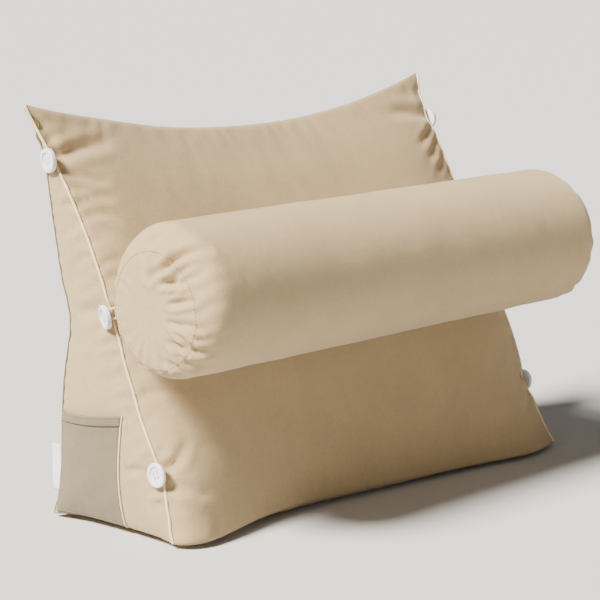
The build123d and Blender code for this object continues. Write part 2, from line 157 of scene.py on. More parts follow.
def grid_faces(rows, columns, start=0, closed=False):
    """Quads over rows x columns points, with the columns joined round if closed."""
    faces = []
    wide = columns if closed else columns - 1
    for r in range(rows - 1):
        for c in range(wide):
            d = (c + 1) % columns
            faces.append((start + r * columns + c, start + r * columns + d,
                          start + (r + 1) * columns + d, start + (r + 1) * columns + c))
    return faces


def coons(bottom, top, left, right):
    """A grid of points between four edges; rows run from bottom to top."""
    u = np.linspace(0, 1, len(bottom))[None, :, None]
    v = np.linspace(0, 1, len(left))[:, None, None]
    return ((1 - v) * bottom[None] + v * top[None] + (1 - u) * left[:, None] + u * right[:, None]
            - (1 - u) * (1 - v) * bottom[0] - u * (1 - v) * bottom[-1]
            - (1 - u) * v * top[0] - u * v * top[-1])


def plateau(n, power):
    """0 at both ends of n points and 1 over the middle."""
    return 1 - np.abs(np.linspace(-1, 1, n)) ** power


@contextmanager
def edited(obj):
    """Opens a piece's mesh for editing and puts it back."""
    bm = bmesh.new()
    bm.from_mesh(obj.data)
    yield bm
    bm.to_mesh(obj.data)
    bm.free()


def tube(path, radius, around=10, closed=False, flat=1.0):
    """Points and faces of a round cord along a path; flat squeezes it along its second axis."""
    path = np.asarray(path, float)
    ahead = np.roll(path, -1, 0) - np.roll(path, 1, 0)
    if not closed:
        ahead[0], ahead[-1] = path[1] - path[0], path[-1] - path[-2]
    ahead /= np.linalg.norm(ahead, axis=1)[:, None]
    side = np.cross(ahead[0], [0.31, 0.22, 0.93])
    sides = []
    for a in ahead:
        side = side - a * (side @ a)
        side /= np.linalg.norm(side)
        sides.append(side)
    sides = np.array(sides)
    ups = np.cross(ahead, sides)
    turn = np.linspace(0, 2 * math.pi, around, endpoint=False)
    radius = np.broadcast_to(np.asarray(radius, float), len(path))[:, None, None]
    points = (path[:, None] + radius * (np.cos(turn)[None, :, None] * sides[:, None]
              + flat * np.sin(turn)[None, :, None] * ups[:, None])).reshape(-1, 3)
    faces = grid_faces(len(path), around, closed=True)
    if closed:
        last = (len(path) - 1) * around
        faces += [(last + c, last + (c + 1) % around, (c + 1) % around, c) for c in range(around)]
    else:
        faces.append(tuple(range(around))[::-1])
        faces.append(tuple((len(path) - 1) * around + c for c in range(around)))
    return points, faces


class Heap:
    """Small shapes gathered into one mesh."""

    def __init__(self):
        self.points, self.faces = [], []

    def add(self, points, faces):
        start = sum(len(p) for p in self.points)
        self.points.append(np.asarray(points, float))
        self.faces += [tuple(start + i for i in f) for f in faces]

    def piece(self, name):
        return new_piece(name, np.concatenate(self.points), self.faces)


def stitches(heap, line, outward, pitch=3.4, long=2.3, thick=0.32, lift=0.15):
    """A row of sewn stitches along a line of points, lying on cloth with that outward normal."""
    run = float(np.linalg.norm(np.diff(line, axis=0), axis=1).sum())
    count = max(2, int(run / pitch))
    along = (np.arange(count) + 0.5) / count
    mids = resampled(line, along)
    befores = resampled(line, along - long / 2 / run)
    afters = resampled(line, along + long / 2 / run)
    outs = resampled(outward, along)
    for before, mid, after, out in zip(befores, mids, afters, outs):
        out = out / np.linalg.norm(out)
        path = [before - out * 0.5 * thick, before * 0.7 + mid * 0.3 + out * (lift + thick * 0.4),
                mid + out * (lift + thick * 0.7), after * 0.7 + mid * 0.3 + out * (lift + thick * 0.4),
                after - out * 0.5 * thick]
        heap.add(*tube(path, thick, around=6))


# ---- Materials ----


def material(name, base, rough=0.85, sheen=0.0, metal=0.0, spread=0.06, mottle=30.0, grain=1400.0,
             grain_bump=0.25, weave=0.0, weave_bump=0.3, coat=0.0, nap=0.0, slub=0.0, specular=0.3,
             gap_shade=2.2):
    """A procedural finish: mottled colour, fine grain, and a relief woven at that pitch in millimetres."""
    m = bpy.data.materials.new(name)
    m.use_nodes = True
    tree = m.node_tree
    tree.nodes.clear()
    link = tree.links.new

    def node(kind, **values):
        n = tree.nodes.new("ShaderNode" + kind)
        for key, value in values.items():
            if key in n.inputs.keys():
                n.inputs[key].default_value = value
            else:
                setattr(n, key, value)
        return n

    def mixed(factor, a, b, how="MIX"):
        n = node("Mix", data_type="RGBA", blend_type=how)
        for socket, value in ((n.inputs[0], factor), (n.inputs[6], a), (n.inputs[7], b)):
            if hasattr(value, "node"):
                link(value, socket)
            else:
                socket.default_value = value if socket == n.inputs[0] else (*value, 1)
        return n.outputs[2]

    out = node("OutputMaterial")
    shader = node("BsdfPrincipled", Roughness=rough, Metallic=metal, **{
        "Sheen Weight": sheen, "Sheen Roughness": 0.45, "Sheen Tint": (1.0, 0.96, 0.88, 1),
        "Coat Weight": coat, "Coat Roughness": 0.25, "Specular IOR Level": specular})
    link(shader.outputs[0], out.inputs[0])
    place = node("TexCoord").outputs["Object"]

    base = np.array(base, float)
    broad = node("TexNoise", Scale=mottle, Detail=4.0, Roughness=0.6)
    fine = node("TexNoise", Scale=grain, Detail=3.0, Roughness=0.65)
    for n in (broad, fine):
        link(place, n.inputs["Vector"])
    patchy = node("MapRange", **{"From Min": 0.32, "From Max": 0.68})
    link(broad.outputs[0], patchy.inputs[0])
    colour = mixed(patchy.outputs[0], base * (1 - spread), np.minimum(base * (1 + spread), 1))
    speck = node("MapRange", **{"From Min": 0.3, "From Max": 0.7})
    link(fine.outputs[0], speck.inputs[0])
    shade = mixed(speck.outputs[0], (1 - 1.6 * spread,) * 3, (1, 1, 1))
    colour = mixed(1.0, colour, shade, "MULTIPLY")

    bump = node("Bump", Strength=grain_bump, Distance=0.0006)
    link(fine.outputs[0], bump.inputs["Height"])
    if nap:
        brushed = node("TexNoise", Scale=nap, Detail=5.0, Roughness=0.7, Distortion=0.8)
        link(place, brushed.inputs["Vector"])
        soft = node("MapRange", **{"From Min": 0.35, "From Max": 0.65})
        link(brushed.outputs[0], soft.inputs[0])
        colour = mixed(soft.outputs[0], colour, mixed(1.0, colour, (0.93, 0.92, 0.90), "MULTIPLY"))
        relief = node("Bump", Strength=0.18, Distance=0.0015)
        link(brushed.outputs[0], relief.inputs["Height"])
        link(bump.outputs[0], relief.inputs["Normal"])
        bump = relief
    if weave:
        woven = None
        for axis in ("X", "Y", "Z"):
            wave = node("TexWave", wave_type="BANDS", bands_direction=axis, Scale=math.pi * 100 / weave,
                        Distortion=0.8 + slub, Detail=2.0, **{"Detail Scale": 2.0})
            link(place, wave.inputs["Vector"])
            thread = wave.outputs["Fac"]
            if woven is not None:
                both = node("Math", operation="ADD")
                link(woven, both.inputs[0])
                link(thread, both.inputs[1])
                thread = both.outputs[0]
            woven = thread
        third = node("Math", operation="DIVIDE")
        link(woven, third.inputs[0])
        third.inputs[1].default_value = 3.0
        cloth = node("Bump", Strength=weave_bump, Distance=0.0004)
        link(third.outputs[0], cloth.inputs["Height"])
        link(bump.outputs[0], cloth.inputs["Normal"])
        bump = cloth
        gap = node("MapRange", **{"From Min": 0.2, "From Max": 0.6})
        link(third.outputs[0], gap.inputs[0])
        shade = mixed(gap.outputs[0], (1 - gap_shade * spread,) * 3, (1, 1, 1))
        colour = mixed(1.0, colour, shade, "MULTIPLY")
    link(colour, shader.inputs["Base Color"])
    link(bump.outputs[0], shader.inputs["Normal"])
    uneven = node("MapRange", **{"To Min": max(rough - 0.06, 0), "To Max": min(rough + 0.06, 1)})
    link(broad.outputs[0], uneven.inputs[0])
    link(uneven.outputs[0], shader.inputs["Roughness"])
    return m


SUEDE = material("peach_skin_cloth", (0.46, 0.335, 0.18), rough=0.88, sheen=0.25, spread=0.045, mottle=16,
                 grain=700, grain_bump=0.5, nap=210, weave=0.8, weave_bump=0.08, gap_shade=0.4)
POCKET_CLOTH = material("slubbed_linen", (0.20, 0.162, 0.105), rough=0.9, sheen=0.12, spread=0.06, mottle=60,
                        grain=900, weave=1.1, weave_bump=0.35, slub=1.2, gap_shade=0.8)
# The back seams' cord cloth is dark brown: a painted shadow in the gap of each back seam.
SEAM_SHADOW_CLOTH = material("back_seam_painted_shadow", (0.20, 0.145, 0.085), rough=0.9, sheen=0.1, spread=0.08, grain=1600,
                      weave=0.5, weave_bump=0.3)
PIPING_CLOTH = material("piping_cloth", (0.86, 0.70, 0.42), rough=0.85, sheen=0.2, spread=0.05, grain=1600,
                        weave=0.7, weave_bump=0.25)
LINER_CLOTH = material("liner_cotton", (0.78, 0.77, 0.73), rough=0.92, sheen=0.1, spread=0.04, weave=0.7)
FIBRE = material("fibre_fill", (0.85, 0.84, 0.82), rough=1.0, sheen=0.4, spread=0.05, mottle=90, grain=500,
                 grain_bump=0.9, nap=240)
PLASTIC = material("pearl_plastic", (0.80, 0.82, 0.86), rough=0.28, spread=0.03, mottle=260, grain=2600,
                   grain_bump=0.03, coat=0.6, specular=0.55)
THREAD = material("sewing_thread", (0.42, 0.33, 0.21), rough=0.7, sheen=0.3, spread=0.08, grain=5200,
                  weave=0.35, weave_bump=0.5)
DARK_THREAD = material("seam_thread", (0.20, 0.14, 0.085), rough=0.8, sheen=0.2, spread=0.08, grain=5200,
                       weave=0.35, weave_bump=0.5)
WHITE_THREAD = material("button_thread", (0.83, 0.83, 0.80), rough=0.65, sheen=0.3, spread=0.05, grain=5200,
                        weave=0.35, weave_bump=0.5)
ELASTIC = material("elastic_cord", (0.85, 0.86, 0.86), rough=0.75, sheen=0.25, spread=0.06, grain=3600,
                   weave=0.5, weave_bump=0.7)
TAPE = material("zip_tape", (0.52, 0.44, 0.33), rough=0.8, sheen=0.15, spread=0.06, grain=2600, weave=0.5,
                weave_bump=0.6)
COIL = material("nylon_coil", (0.56, 0.49, 0.38), rough=0.42, spread=0.05, mottle=120, grain=2400,
                grain_bump=0.1, specular=0.5)
METAL = material("zip_metal", (0.70, 0.70, 0.69), rough=0.34, metal=1.0, spread=0.05, mottle=140, grain=1800,
                 grain_bump=0.08)
LABEL_CLOTH = material("label_satin", (0.80, 0.82, 0.84), rough=0.55, sheen=0.35, spread=0.03, grain=3000,
                       weave=0.45, weave_bump=0.35)


def finish_piece(obj, mat, body="wedge", stands_for=()):
    obj.data.materials.clear()
    obj.data.materials.append(mat)
    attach(obj, body)
    if stands_for:
        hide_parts(*stands_for)
    return obj


# ---- Seam lines of the wedge cover ----

ACROSS = 72
UP_FRONT = 58
UP_BACK = 52
ALONG_BASE = 24

even = {n: np.linspace(0, 1, n + 1) for n in (ACROSS, UP_FRONT, UP_BACK, ALONG_BASE)}

LEFT_TOP, RIGHT_TOP = [-302, 134, 427], [299, 128, 427]
LEFT_FOOT, RIGHT_FOOT = [-288, -68, 3], [291, -99, 4]
LEFT_HEEL, RIGHT_HEEL = [-300, 104, 2], [299, 104, 3]

left_front = curve_through([LEFT_FOOT, [-287, -64, 22], [-286, -52, 68], [-285, -13, 140], [-285, 20, 222],
                            [-285, 59, 302], [-288, 103, 370], [-294, 122, 400], LEFT_TOP], even[UP_FRONT])
right_front = curve_through([RIGHT_FOOT, [287, -88, 20], [286, -58, 72], [290, -26, 140], [287, 18, 220],
                             [286, 57, 300], [287, 92, 365], [292, 116, 402], RIGHT_TOP], even[UP_FRONT])
left_back = curve_through([LEFT_HEEL, [-292, 103, 22], [-288, 102, 62], [-285, 103, 115], [-281, 101, 158],
                           [-279, 94, 207], [-280, 105, 250], [-283, 116, 325], [-287, 121, 370], LEFT_TOP],
                          even[UP_BACK])
right_back = curve_through([RIGHT_HEEL, [291, 101, 24], [286, 100, 70], [282, 101, 150], [280, 102, 215],
                            [282, 113, 320], [287, 120, 375], RIGHT_TOP], even[UP_BACK])
top_seam = curve_through([LEFT_TOP, [-270, 125, 418], [-205, 121, 405], [-120, 119, 391], [-30, 118, 385],
                          [65, 118, 386], [150, 119, 395], [220, 121, 408], [272, 125, 420], RIGHT_TOP],
                         even[ACROSS])
base_front = curve_through([LEFT_FOOT, [-279, -84, 4], [-250, -91, 5], [-165, -76, 8], [-100, -74, 9],
                            [-10, -82, 8], [90, -92, 6], [160, -101, 5], [225, -113, 5], [262, -108, 5],
                            RIGHT_FOOT], even[ACROSS])
base_back = curve_through([LEFT_HEEL, [-255, 98, 5], [-130, 94, 7], [0, 93, 7], [130, 94, 7], [255, 98, 5],
                           RIGHT_HEEL], even[ACROSS])
base_left = curve_through([LEFT_FOOT, [-286, -50, 6], [-287, 20, 7], [-292, 75, 6], LEFT_HEEL],
                          even[ALONG_BASE])
base_right = curve_through([RIGHT_FOOT, [286, -55, 6], [285, 10, 7], [290, 70, 6], RIGHT_HEEL],
                           even[ALONG_BASE])

# ---- Panels of the wedge cover ----

FRONT, BACK, BASE, LEFT, RIGHT, ZIP_SLOT = range(6)


def swelled(grid, outward, amount, across_power, up_power):
    bulge = plateau(grid.shape[0], up_power)[:, None] * plateau(grid.shape[1], across_power)[None]
    return grid + amount * bulge[..., None] * outward


def back_face(z):
    """Y of the CAD back panel at a height."""
    return HEEL[0] + (PEAK[0] - HEEL[0]) * z / HEIGHT


front_grid = swelled(coons(base_front, top_seam, left_front, right_front), SLOPE_OUT, 17, 2.6, 2.4)
back_grid = swelled(coons(base_back, top_seam, left_back, right_back), BACK_OUT, 14, 3.0, 3.0)
base_grid = coons(base_front, base_back, base_left, base_right)

# The back panel is flat and straight along its zip
zip_row = int(np.argmin(np.abs(back_grid[:, ACROSS // 2, 2] - WEDGE_ZIP_Z)))
rows_away = np.abs(np.arange(UP_BACK + 1) - zip_row)
zip_hold = np.clip((WEDGE_ZIP_REACH + 26 - np.abs(back_grid[zip_row, :, 0])) / 30, 0, 1)
raised = WEDGE_ZIP_Z - back_grid[zip_row, :, 2].copy()
back_grid[1:-1, :, 2] += (np.exp(-(rows_away[1:-1, None] / 2.6) ** 2) * (zip_hold * raised)[None])
for row, offset in ((zip_row - 1, -SLOT), (zip_row, 0), (zip_row + 1, SLOT)):
    flat_z = WEDGE_ZIP_Z + offset
    back_grid[row, :, 2] = back_grid[row, :, 2] * (1 - zip_hold) + flat_z * zip_hold
near_zip = np.exp(-(np.maximum(rows_away - 1, 0) / 2.4) ** 2)[:, None] * zip_hold[None]
near_zip[[0, -1]] = 0
back_grid[..., 1] += near_zip * (back_face(back_grid[..., 2]) - back_grid[..., 1])

# The base is flat where it rests on the floor, and rounds up to its seams
settle = np.minimum(1, 3.2 * plateau(ALONG_BASE + 1, 2.0)[:, None] * plateau(ACROSS + 1, 2.0)[None])
settle = settle * settle * (3 - 2 * settle)
base_grid[..., 2] = base_grid[..., 2] * (1 - settle) + 0.3 * settle


def side_panel(front_edge, back_edge, base_edge, outward, amount, spacing=8.4):
    """Points and triangles of a side panel; its boundary points are those of the seams."""
    loop = np.concatenate([front_edge[:-1], back_edge[::-1][:-1], base_edge[::-1][:-1]])
    flat = loop[:, 1:]
    rows = []
    for k, z in enumerate(np.arange(4, HEIGHT, spacing * 0.87)):
        ys = np.arange(-110 + (k % 2) * spacing / 2, 150, spacing)
        rows.append(np.stack([ys, np.full(len(ys), z)], 1))
    rows = np.concatenate(rows)
    after = np.roll(flat, -1, 0)
    a, b = flat[None], after[None]
    p = rows[:, None]
    share = np.clip(((p - a) * (b - a)).sum(2) / np.maximum(((b - a) ** 2).sum(2), 1e-9), 0, 1)
    reach = np.linalg.norm(p - a - share[..., None] * (b - a), axis=2).min(1)
    crosses = ((a[..., 1] > p[..., 1]) != (b[..., 1] > p[..., 1]))
    rise = b[..., 1] - a[..., 1]
    slope = (b[..., 0] - a[..., 0]) / np.where(np.abs(rise) < 1e-9, 1e-9, rise)
    inside = (crosses & (p[..., 0] < a[..., 0] + slope * (p[..., 1] - a[..., 1]))).sum(1) % 2 == 1
    keep = inside & (reach > spacing * 0.62)
    rows, reach = rows[keep], reach[keep]
    pull = 1 / np.maximum(np.linalg.norm(rows[:, None] - flat[None], axis=2), 1) ** 2.5
    x = (pull * loop[None, :, 0]).sum(1) / pull.sum(1) + outward * amount * (1 - np.exp(-reach / 22))
    inner = np.column_stack([x, rows])
    points = np.concatenate([loop, inner])
    n = len(loop)
    rim = [(i, (i + 1) % n) for i in range(n)]
    found = geometry.delaunay_2d_cdt([Vector(q) for q in points[:, 1:]], rim, [], 1, 1e-6)
    origin = [o[0] for o in found[3]]
    faces = [tuple(origin[i] for i in f) for f in found[2]]
    if outward > 0:
        faces = [f[::-1] for f in faces]
    return points, faces


cover_points, cover_faces, cover_panels = [], [], []


def add_panel(points, faces, panels):
    start = sum(len(p) for p in cover_points)
    cover_points.append(points)
    cover_faces.extend(tuple(start + i for i in f) for f in faces)
    cover_panels.extend(panels)


def flipped(faces):
    return [f[::-1] for f in faces]


faces = grid_faces(UP_FRONT + 1, ACROSS + 1)
add_panel(front_grid.reshape(-1, 3), faces, [FRONT] * len(faces))
faces = grid_faces(UP_BACK + 1, ACROSS + 1)
slot_columns = np.abs(back_grid[zip_row, :, 0]) < WEDGE_ZIP_REACH + 1
panels = []
for i in range(len(faces)):
    row, column = divmod(i, ACROSS)
    in_slot = row in (zip_row - 1, zip_row) and slot_columns[column] and slot_columns[column + 1]
    panels.append(ZIP_SLOT if in_slot else BACK)
add_panel(back_grid.reshape(-1, 3), flipped(faces), panels)
faces = grid_faces(ALONG_BASE + 1, ACROSS + 1)
add_panel(base_grid.reshape(-1, 3), flipped(faces), [BASE] * len(faces))
points, faces = side_panel(left_front, left_back, base_left, -1, 9)
add_panel(points, faces, [LEFT] * len(faces))
points, faces = side_panel(right_front, right_back, base_right, 1, 9)
add_panel(points, faces, [RIGHT] * len(faces))

SEAM_GROUP, GATHER_GROUP = "held", "gathered"
WELD_GAP = 0.02


def welded(name, points, faces, panels):
    """One closed mesh from panels whose seam points coincide; a face's material index is its panel."""
    obj = new_piece(name, points, faces)
    for _ in range(6):
        obj.data.materials.append(SUEDE)
    obj.data.polygons.foreach_set("material_index", panels)
    with edited(obj) as bm:
        bmesh.ops.remove_doubles(bm, verts=bm.verts, dist=WELD_GAP * MM)
        bmesh.ops.recalc_face_normals(bm, faces=bm.faces)
    return obj


def seam_edges(obj, ignore=()):
    """Pairs of vertices along the edges where two panels meet."""
    sides = {}
    for poly in obj.data.polygons:
        for key in poly.edge_keys:
            sides.setdefault(key, set()).add(BACK if poly.material_index in ignore else poly.material_index)
    return [key for key, panels in sides.items() if len(panels) > 1]


def panel_points(obj, panel):
    """Vertices of a panel's faces."""
    return np.array(sorted({i for p in obj.data.polygons if p.material_index == panel for i in p.vertices}))


def distance_to(points, targets):
    best = np.full(len(points), 1e9)
    for k in range(0, len(targets), 200):
        best = np.minimum(best, np.linalg.norm(points[:, None] - targets[None, k:k + 200], axis=2).min(1))
    return best


def inflate(obj, held, gather, pressure, cap, growth, frames=22, tension=22, bending=0.6):
    """Fills a closed cover by cloth simulation. Held points stay, and cloth near the seams is cut fuller."""
    if not SLOW:
        return
    before = coords(obj)
    for name, weights in ((SEAM_GROUP, held), (GATHER_GROUP, gather)):
        group = obj.vertex_groups.new(name=name)
        for i in np.nonzero(weights > 0.001)[0]:
            group.add([int(i)], float(weights[i]), "REPLACE")
    cloth = obj.modifiers.new("fill", "CLOTH")
    s = cloth.settings
    s.quality = 6
    s.mass = 0.25
    s.tension_stiffness = tension
    s.compression_stiffness = tension
    s.shear_stiffness = tension * 0.5
    s.bending_stiffness = bending
    s.tension_damping = s.compression_damping = s.shear_damping = 8
    s.air_damping = 2
    s.vertex_group_mass = SEAM_GROUP
    s.pin_stiffness = 1
    s.vertex_group_shrink = GATHER_GROUP
    s.shrink_min = 0.0
    s.shrink_max = -growth
    s.use_pressure = True
    s.uniform_pressure_force = pressure
    s.effector_weights.gravity = 0
    cloth.collision_settings.use_collision = False
    cloth.point_cache.frame_start = 1
    cloth.point_cache.frame_end = frames
    scene = bpy.context.scene
    for f in range(1, frames + 1):
        scene.frame_set(f)
    filled = obj.evaluated_get(bpy.context.evaluated_depsgraph_get())
    mesh = filled.to_mesh()
    after = np.array([v.co for v in mesh.vertices]) / MM
    filled.to_mesh_clear()
    obj.modifiers.clear()
    obj.vertex_groups.clear()
    scene.frame_set(1)
    move = after - before
    far = np.linalg.norm(move, axis=1)
    soft_cap = cap * np.tanh(far / cap)
    set_coords(obj, before + move * (soft_cap / np.maximum(far, 1e-6))[:, None])


def gathers(points, line, amount, pitch, reach, seed=0.0, hold=3.5, closed=False):
    """How far each point stands out in the small folds that a gathered seam throws across the cloth."""
    run = np.concatenate([[0], np.cumsum(np.linalg.norm(np.diff(line, axis=0), axis=1))])
    out = np.zeros(len(points))
    near = np.nonzero(distance_to(points, line[::3]) < 3 * reach)[0]
    for i in near:
        away = np.linalg.norm(line - points[i], axis=1)
        k = int(away.argmin())
        s, d = run[k], away[k]
        drift = noise.noise(Vector((s / 37 + seed, 1.7, d / 60)))
        strength = 0.55 + 0.9 * noise.noise(Vector((s / 24, seed, 4.2)))
        long = reach * (0.75 + 0.8 * noise.noise(Vector((s / 16, 9.1, seed))))
        fold = math.sin(2 * math.pi * s / pitch + 5.5 * drift)
        tips = 1.0 if closed else min(1.0, s / 55, (run[-1] - s) / 55)
        fade = math.exp(-(d / long) ** 1.5) * (1 - math.exp(-((d / hold) ** 2)))
        out[i] = tips * max(strength, 0.1) * fold * fade
    return amount * out


def crease(points, path, depth, width, ridge):
    """A soft groove along the cloth near a path, fading to its ends, with a ridge along one side."""
    path = resampled(np.array(path, float), np.linspace(0, 1, 24))
    path = np.array([points[np.linalg.norm(points - q, axis=1).argmin()] for q in path])
    for _ in range(4):
        path[1:-1] = (path[:-2] + path[1:-1] + path[2:]) / 3
    out = np.zeros(len(points))
    for i in np.nonzero(distance_to(points, path) < 3 * width)[0]:
        away = np.linalg.norm(path - points[i], axis=1)
        k = int(away.argmin())
        share = k / (len(path) - 1)
        fade = math.sin(math.pi * min(max(share * 0.9 + 0.08, 0), 1)) ** 0.6
        across = np.cross(path[min(k + 1, 23)] - path[max(k - 1, 0)], points[i] - path[k])
        side = 1 if across.sum() > 0 else -1
        d = away[k]
        out[i] = fade * (-math.exp(-((d / width) ** 2)) + (ridge if side > 0 else ridge * 0.4)
                         * math.exp(-(((d - 1.7 * width) / width) ** 2)))
    return depth * out


def creases_on_both_sides(points, creases, right_share, ridge):
    """How far each point moves under creases given on the left and mirrored, weaker, on the right."""
    fold = np.zeros(len(points))
    for side, share in ((1, 1.0), (-1, right_share)):
        for path, depth, width in creases:
            fold += crease(points, np.array(path) * [side, 1, 1], depth * share, width, ridge)
    return fold


wedge_cover = welded("wedge_cover", np.concatenate(cover_points), cover_faces, cover_panels)
co = coords(wedge_cover)
seams = seam_edges(wedge_cover, ignore=(ZIP_SLOT,))
seam_points = np.array(sorted({i for edge in seams for i in edge}))
slot_points = panel_points(wedge_cover, ZIP_SLOT)
to_seam = distance_to(co, co[seam_points])
held = np.zeros(len(co))
held[seam_points] = 1
held[slot_points] = 1
base_points = panel_points(wedge_cover, BASE)
resting = base_points[co[base_points, 2] < 1.2]
held[resting] = 1
gather = np.clip(1 - to_seam / 42, 0, 1) ** 0.8
push = 0.9 * fuzz(co, 17, 3.0) * np.clip(to_seam / 12, 0, 1) * (held < 0.5)
set_coords(wedge_cover, co + push[:, None] * normals(wedge_cover))
inflate(wedge_cover, held, gather, pressure=5.0, cap=13, growth=0.075)

# The front panel gives way where the bolster lies on it, and nothing sinks through the floor
co = coords(wedge_cover)
away = co[:, 1:] - BOLSTER_CENTRE
reach = np.linalg.norm(away, axis=1)
inside = (reach < BOLSTER_RADIUS + 0.4) & (np.abs(co[:, 0]) < SEAM_X)
inside[seam_points] = False
co[inside, 1:] = BOLSTER_CENTRE + away[inside] / reach[inside, None] * (BOLSTER_RADIUS + 0.4)
co[:, 2] = np.maximum(co[:, 2], FLOOR_GAP)
set_coords(wedge_cover, co)


def smoothed(obj, levels=1):
    """Subdivides a piece for good."""
    sub = obj.modifiers.new("sub", "SUBSURF")
    sub.levels = sub.render_levels = levels
    bpy.context.view_layer.update()
    mesh = bpy.data.meshes.new_from_object(obj.evaluated_get(bpy.context.evaluated_depsgraph_get()))
    obj.modifiers.clear()
    obj.data = mesh
    mesh.polygons.foreach_set("use_smooth", [True] * len(mesh.polygons))
    return obj


def tree_for(obj):
    faces = [tuple(p.vertices) for p in obj.data.polygons]
    return BVHTree.FromPolygons([Vector(p) for p in coords(obj)], faces)


def relax(bm, verts, factor):
    bmesh.ops.smooth_vert(bm, verts=verts, factor=factor, use_axis_x=True, use_axis_y=True, use_axis_z=True)


def draw_in(copy, cover, depth):
    """Smooths a bag or filling wherever it isn't that deep inside the cover: thin edges draw in."""
    with edited(copy) as bm:
        for _ in range(40):
            shallow = []
            for v in bm.verts:
                place, normal, _, _ = cover.find_nearest(v.co / MM)
                if (v.co / MM - place).dot(normal) > -depth:
                    shallow.append(v)
            if not shallow:
                break
            near = {w for v in shallow for e in v.link_edges for w in e.verts}
            near = {w for v in near for e in v.link_edges for w in e.verts}
            for _ in range(4):
                relax(bm, list(near), 1.0)


def shrunk_copy(obj, name, depth, rounds=6):
    """A copy of a cover that lies at least that depth inside it, for the bag or the filling."""
    copy = obj.copy()
    copy.data = obj.data.copy()
    copy.name = copy.data.name = name
    bpy.context.scene.collection.objects.link(copy)
    with edited(copy) as bm:
        for _ in range(rounds):
            relax(bm, bm.verts, 0.5)
    set_coords(copy, coords(copy) - depth * normals(copy))
    draw_in(copy, tree_for(obj), 0.6 * depth)
    return copy


def settle_inside(copy, cover, depth):
    """Moves a bag or filling back under the folds of what lies over it."""
    over = tree_for(cover)
    for _ in range(3):
        points = coords(copy)
        for i, p in enumerate(points):
            place, normal, _, _ = over.find_nearest(Vector(p))
            if (Vector(p) - place).dot(normal) > -depth:
                points[i] = place - normal * (depth + 0.4)
        set_coords(copy, points)
    draw_in(copy, over, 0.5 * depth)


wedge_liner = shrunk_copy(wedge_cover, "wedge_liner_bag", 6)
wedge_filling = shrunk_copy(wedge_cover, "wedge_fibre_filling", 9, 14)
for copy in (wedge_liner, wedge_filling):
    p = coords(copy)
    deep = np.exp(-(np.abs(p[:, 2] - WEDGE_ZIP_Z) / 16) ** 2) * (p[:, 1] > 60)
    set_coords(copy, p - 6 * deep[:, None] * BACK_OUT)
smoothed(wedge_cover)


def sink_slot(obj, panel, inward):
    """Presses a zip's slot into a closed cover by a vector."""
    with edited(obj) as bm:
        chosen = [f for f in bm.faces if f.material_index == panel]
        moved = bmesh.ops.extrude_face_region(bm, geom=chosen)
        bmesh.ops.delete(bm, geom=chosen, context="FACES")
        for v in moved["geom"]:
            if isinstance(v, bmesh.types.BMVert):
                v.co += Vector(inward) * MM
        bmesh.ops.recalc_face_normals(bm, faces=bm.faces)


def edge_line(obj, panel_a, panel_b):
    """The seam between two panels after smoothing: its points in order, and the cover's normals there."""
    sides, beside = {}, {}
    for poly in obj.data.polygons:
        for key in poly.edge_keys:
            sides.setdefault(key, set()).add(poly.material_index)
    for (i, j), panels in sides.items():
        if {panel_a, panel_b} <= panels:
            beside.setdefault(i, []).append(j)
            beside.setdefault(j, []).append(i)
    ends = sorted(i for i, others in beside.items() if len(others) == 1)
    order = [min(ends, key=lambda i: tuple(obj.data.vertices[i].co)) if ends else min(beside)]
    seen = set(order)
    while True:
        onward = [j for j in beside[order[-1]] if j not in seen]
        if not onward:
            break
        order.append(onward[0])
        seen.add(onward[0])
    return coords(obj)[order], normals(obj)[order]


SEAM_PANELS = {
    "left_front": (FRONT, LEFT),
    "right_front": (FRONT, RIGHT),
    "left_back": (BACK, LEFT),
    "right_back": (BACK, RIGHT),
    "top": (FRONT, BACK),
    "base_front": (FRONT, BASE),
    "base_back": (BACK, BASE),
    "base_left": (LEFT, BASE),
    "base_right": (RIGHT, BASE),
}

# Folds thrown by each seam: height, pitch and reach
SEAM_FOLDS = {
    "left_front": (2.4, 17, 30),
    "right_front": (2.2, 18, 28),
    "left_back": (1.4, 16, 20),
    "right_back": (1.4, 17, 20),
    "top": (1.0, 26, 26),
    "base_front": (1.5, 21, 24),
    "base_back": (0.9, 20, 14),
    "base_left": (0.9, 17, 14),
    "base_right": (0.9, 18, 14),
}
BUTTON_DIMPLE, BUTTON_DIMPLE_REACH = 3.2, 15

# Creases that run from the buttons: path on the left side, depth and width
CREASES = (
    ([(-290, 98, 374), (-272, 90, 384), (-246, 88, 392), (-215, 86, 396)], 4.6, 8.0),
    ([(-288, 96, 366), (-268, 78, 357), (-244, 68, 350)], 3.6, 5.0),
    ([(-287, 88, 352), (-268, 72, 338), (-248, 62, 330)], 3.0, 5.0),
    ([(-286, 76, 330), (-268, 62, 316), (-250, 52, 310)], 2.6, 5.0),
    ([(-292, 122, 408), (-284, 112, 396), (-284, 102, 378)], 2.6, 6.0),
    ([(-287, -58, 78), (-274, -64, 92), (-258, -62, 104)], 3.6, 5.5),
    ([(-287, -60, 66), (-268, -84, 56), (-246, -92, 52)], 3.0, 6.0),
    ([(-289, -42, 72), (-290, -22, 71), (-291, -6, 70)], 3.2, 4.0),
    ([(-289, 34, 224), (-288, 52, 222), (-286, 70, 220)], 2.4, 6.0),
    ([(-287, 20, 226), (-268, 8, 226), (-246, 0, 222)], 3.0, 6.0),
)

